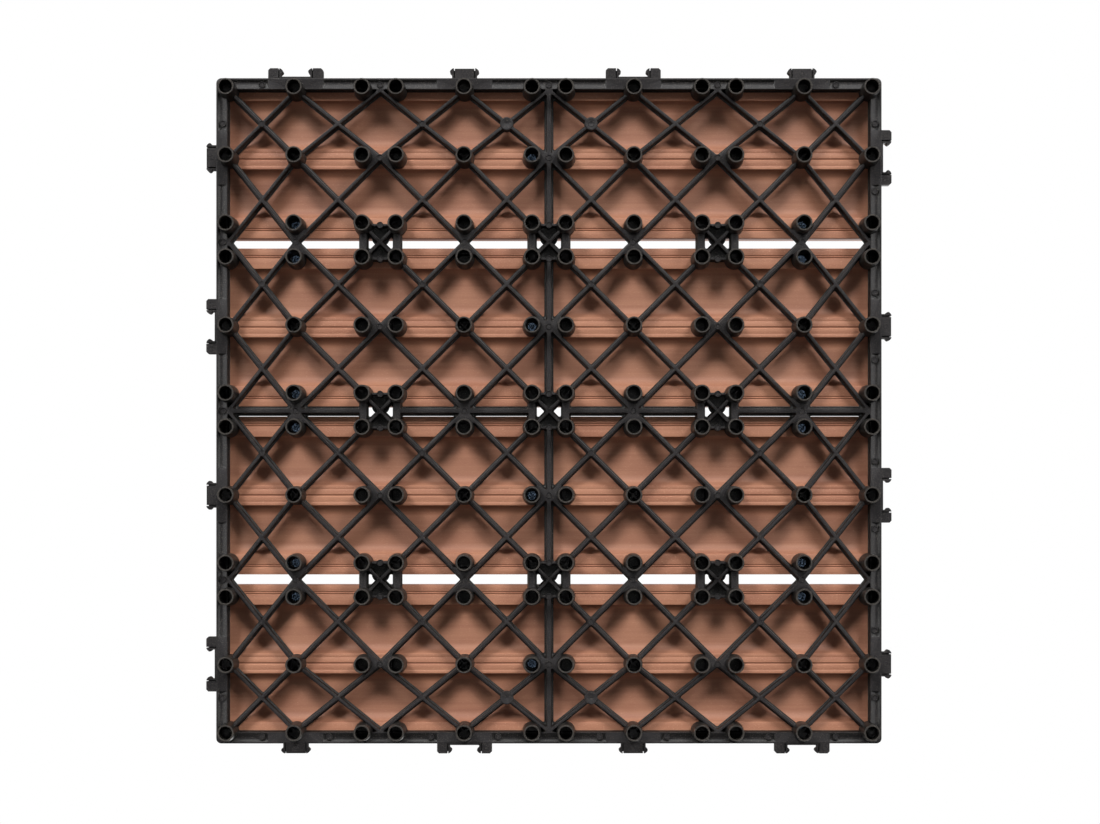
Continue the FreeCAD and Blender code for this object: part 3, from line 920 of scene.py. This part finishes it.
def screw_mesh(base, screws):
    """One screw, its flat head with a cross recess facing down."""
    shell = Shell()
    face_z = foot_floor(base) - screws.head_height
    under_head = foot_floor(base) - 0.03 * MM
    arm, half = screws.recess_reach, 0.45 * MM
    quarter = [(half, -arm), (half, -half), (arm, -half)]
    plus = [point for turn in range(4) for point in quarter_turned(quarter, turn)]
    recess_floor = [(x / 2, y / 2) for x, y in plus]
    shell.pit([shell.ring(plus, face_z), shell.ring(recess_floor, face_z + screws.recess_depth)])
    shank, top, point = screws.shank_radius, base.base_height + screws.grip, 4 * MM
    section = turned_steps(screws.head_radius, face_z, [(-0.45, 0), (-0.1, 0.25), (0, 0.7)])
    section += [(screws.head_radius, under_head), (shank, under_head), (shank, top - point), (0, top)]
    shell.lathe(section, sides=24)
    return shell.mesh("screw", (face_z,))


def screw_places(base):
    """Two screws on each edge land near both ends, one on the middle land, for every board."""
    centres = cell_centres(base)
    step = foot_offset(base)
    places = []
    for centre in centres:
        places += [(end, centre + aside, 0) for end in (-centres[-1], centres[-1]) for aside in (-step, step)]
        places.append((-cluster_reach(base), centre, 0))
    return places


# Operators


def finish_base(base, piece):
    """Gives a piece of the moulded base its plastic, and lets it stand for the CAD base."""
    finish_piece(piece, moulded_polypropylene(base), "base_plastic", BASE_NODE)
    return {"FINISHED"}


class DECKTILE_OT_lattice(bpy.types.Operator):
    """Frame, diagonal ribs and spines of the moulded base"""

    bl_idname = "decktile.lattice"
    bl_label = "Lattice"

    def execute(self, context):
        base = context.scene.deck_tile_base
        return finish_base(base, new_object("base_lattice", lattice_mesh(base)))


class DECKTILE_OT_feet(bpy.types.Operator):
    """Hollow feet, nine to a cell"""

    bl_idname = "decktile.feet"
    bl_label = "Feet"

    def execute(self, context):
        base = context.scene.deck_tile_base
        values = {"Cell Pitch": base.cell_pitch, "Cells": CELLS, "Row Offset": foot_offset(base),
                  "Material": moulded_polypropylene(base)}
        return finish_base(base, repeated("base_feet", [], feet_tree(), foot_mesh(base), values))


class DECKTILE_OT_marks(bpy.types.Operator):
    """Round ejector marks on the crossings and the frame"""

    bl_idname = "decktile.marks"
    bl_label = "Ejector marks"

    def execute(self, context):
        base = context.scene.deck_tile_base
        values = {"Most Turn": 0.3, "Seed": 3, "Material": moulded_polypropylene(base)}
        piece = repeated("base_marks", mark_places(base), repeat_tree(), mark_mesh(base), values)
        return finish_base(base, piece)


class DECKTILE_OT_bosses(bpy.types.Operator):
    """Gate bosses and the round seat plates of the outer clusters"""

    bl_idname = "decktile.bosses"
    bl_label = "Bosses"

    def execute(self, context):
        base = context.scene.deck_tile_base
        return finish_base(base, new_object("base_bosses", boss_mesh(base)))


class DECKTILE_OT_clips(bpy.types.Operator):
    """Male and female clips along the four sides"""

    bl_idname = "decktile.clips"
    bl_label = "Clips"

    def execute(self, context):
        base = context.scene.deck_tile_base
        return finish_base(base, new_object("base_clips", clip_mesh(base)))


class DECKTILE_OT_boards(bpy.types.Operator):
    """Four scalloped wood-plastic boards"""

    bl_idname = "decktile.boards"
    bl_label = "Boards"

    def execute(self, context):
        boards = context.scene.deck_tile_boards
        material = extruded_composite(boards)
        for node, box in zip(BOARD_NODES, BOARD_BOXES):
            piece = new_object("composite_" + node, board_mesh(boards, box, node))
            finish_piece(piece, material, "board_composite", node)
        return {"FINISHED"}


class DECKTILE_OT_screws(bpy.types.Operator):
    """Screws that hold the boards, five to a board"""

    bl_idname = "decktile.screws"
    bl_label = "Screws"

    def execute(self, context):
        base, screws = context.scene.deck_tile_base, context.scene.deck_tile_screws
        material = coated_steel(screws)
        values = {"Most Turn": 1.57, "Seed": 11, "Material": material}
        piece = repeated("steel_screws", screw_places(base), repeat_tree(), screw_mesh(base, screws), values)
        finish_piece(piece, material, "screw_steel", SCREW_NODE)
        return {"FINISHED"}


class DECKTILE_OT_stage(bpy.types.Operator):
    """Floor, soft lights, white surroundings and the camera under the tile"""

    bl_idname = "decktile.stage"
    bl_label = "Stage"

    def execute(self, context):
        stage = context.scene.deck_tile_stage
        make_floor(stage)
        make_world(stage)
        # Two far lamps under the tile, either side of its low Y edge, and one over it for the walking face.
        make_lamp("lamp_low_left", (-0.72, -1.0, -1.05), stage.key_angle, stage.key_strength)
        make_lamp("lamp_low_right", (0.72, -1.0, -1.05), stage.key_angle, stage.key_strength)
        make_lamp("lamp_top", (0.7, 1.3, 1.6), stage.top_angle, stage.top_strength)
        make_camera(stage)
        context.scene.view_settings.view_transform = "Standard"
        return {"FINISHED"}


def make_camera(stage):
    """Camera under the tile. It looks straight up from a little aside, with its image shifted back."""
    camera = bpy.data.cameras.new("camera")
    camera.sensor_width = 36.0
    camera.lens = stage.lens
    camera.shift_x, camera.shift_y = 0.001, 0.1115
    made = new_object("camera", camera)
    made.location = (0.0, 0.110, -stage.distance)
    made.rotation_euler = (math.pi, 0.0, 0.0)
    bpy.context.scene.camera = made


def make_floor(stage):
    """Pale floor seen only from above, so that light and the view from below pass it."""
    half = 6.0
    mesh = bpy.data.meshes.new("floor")
    mesh.from_pydata([(x, y, 0) for x, y in rectangle(-half, -half, half, half)], [], [(0, 1, 2, 3)])
    material, add = new_material("matt_pale_floor")
    shader = add("ShaderNodeBsdfPrincipled", {"Base Color": stage.floor, "Roughness": 0.9})
    by_eye = add("ShaderNodeLightPath").outputs["Is Camera Ray"]
    under = add("ShaderNodeNewGeometry").outputs["Backfacing"]
    upper = add("ShaderNodeMath", [1.0, under], operation="SUBTRACT")
    seen = add("ShaderNodeMath", [upper, by_eye], operation="MULTIPLY")
    mixed = add("ShaderNodeMixShader", [seen, add("ShaderNodeBsdfTransparent"), shader])
    add("ShaderNodeOutputMaterial", [mixed])
    mesh.materials.append(material)
    new_object("floor", mesh)


def make_world(stage):
    """White for the eye, dim as light, and mirrored as bright screens that stand low round three sides."""
    world = bpy.data.worlds.new("studio")
    world.use_nodes = True
    world.node_tree.nodes.clear()
    add = partial(add_node, world.node_tree)
    way = add("ShaderNodeTexCoord").outputs["Generated"]
    parts = add("ShaderNodeSeparateXYZ", [way]).outputs
    # The screens stand some 25 degrees below the horizon, on every side but the one towards +Y.
    middle = add("ShaderNodeMath", [parts["Z"], 0.42], operation="ADD")
    away = add("ShaderNodeMath", [middle], operation="ABSOLUTE")
    band = add("ShaderNodeMapRange", [away, 0.12, 0.34, 1.0, 0.0])
    sides = add("ShaderNodeMapRange", [parts["Y"], 0.2, 0.6, 1.0, 0.0])
    screens = add("ShaderNodeMath", [band, sides], operation="MULTIPLY")
    wide = add("ShaderNodeMapRange", [screens, 0.0, 1.0, stage.mirrored_dim, stage.mirrored_screens])
    # One small bright panel beside the eye puts a spark on the screw heads.
    panel_way = Vector((0.06, -0.09, -1.0)).normalized()
    beside = add("ShaderNodeVectorMath", [way, panel_way], operation="DOT_PRODUCT")
    spark = add("ShaderNodeMapRange", [beside, 0.9972, 0.9988, 0.0, stage.mirrored_spark])
    mirrored = add("ShaderNodeMath", [wide, spark], operation="ADD")
    path = add("ShaderNodeLightPath").outputs
    lit = add("ShaderNodeMapRange", [path["Is Glossy Ray"], 0.0, 1.0, stage.ambient, mirrored])
    shown = add("ShaderNodeMath", [path["Is Camera Ray"], path["Is Transmission Ray"]], operation="MAXIMUM")
    strength = add("ShaderNodeMapRange", [shown, 0.0, 1.0, lit, 1.0])
    background = add("ShaderNodeBackground", {"Color": linear("#FFFFFF"), "Strength": strength})
    add("ShaderNodeOutputWorld", [background])
    bpy.context.scene.world = world


def make_lamp(name, place, wide, strength):
    """Soft lamp so far away that it lights the whole tile alike, seen from the tile towards a place."""
    data = bpy.data.lights.new(name, "SUN")
    data.angle = wide
    data.energy = strength
    lamp = new_object(name, data)
    lamp.location = place
    lamp.rotation_euler = (-Vector(place)).to_track_quat("-Z", "Y").to_euler()


class DECKTILE_PT_panel(bpy.types.Panel):
    """Sizes, colours and the steps that build the tile"""

    bl_idname = "DECKTILE_PT_panel"
    bl_label = "Deck tile"
    bl_space_type = "VIEW_3D"
    bl_region_type = "UI"
    bl_category = "Deck tile"

    def draw(self, context):
        for step in STEPS:
            self.layout.operator(step.bl_idname)
        for group in GROUPS:
            settings = getattr(context.scene, GROUPS[group])
            box = self.layout.box()
            for name in group.__annotations__:
                box.prop(settings, name)


GROUPS = {DeckTileBase: "deck_tile_base", DeckTileBoards: "deck_tile_boards",
          DeckTileScrews: "deck_tile_screws", DeckTileStage: "deck_tile_stage"}
STEPS = [DECKTILE_OT_lattice, DECKTILE_OT_feet, DECKTILE_OT_marks, DECKTILE_OT_bosses, DECKTILE_OT_clips,
         DECKTILE_OT_boards, DECKTILE_OT_screws, DECKTILE_OT_stage]


def register():
    for item in [*GROUPS, *STEPS, DECKTILE_PT_panel]:
        bpy.utils.register_class(item)
    for group, name in GROUPS.items():
        setattr(bpy.types.Scene, name, bpy.props.PointerProperty(type=group))


def unregister():
    for name in GROUPS.values():
        delattr(bpy.types.Scene, name)
    for item in [DECKTILE_PT_panel, *reversed(STEPS), *reversed(GROUPS)]:
        bpy.utils.unregister_class(item)


def main():
    register()
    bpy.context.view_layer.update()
    bpy.ops.decktile.lattice()
    bpy.ops.decktile.feet()
    bpy.ops.decktile.marks()
    bpy.ops.decktile.bosses()
    bpy.ops.decktile.clips()
    bpy.ops.decktile.boards()
    bpy.ops.decktile.screws()
    bpy.ops.decktile.stage()


if __name__ == "__main__":
    main()
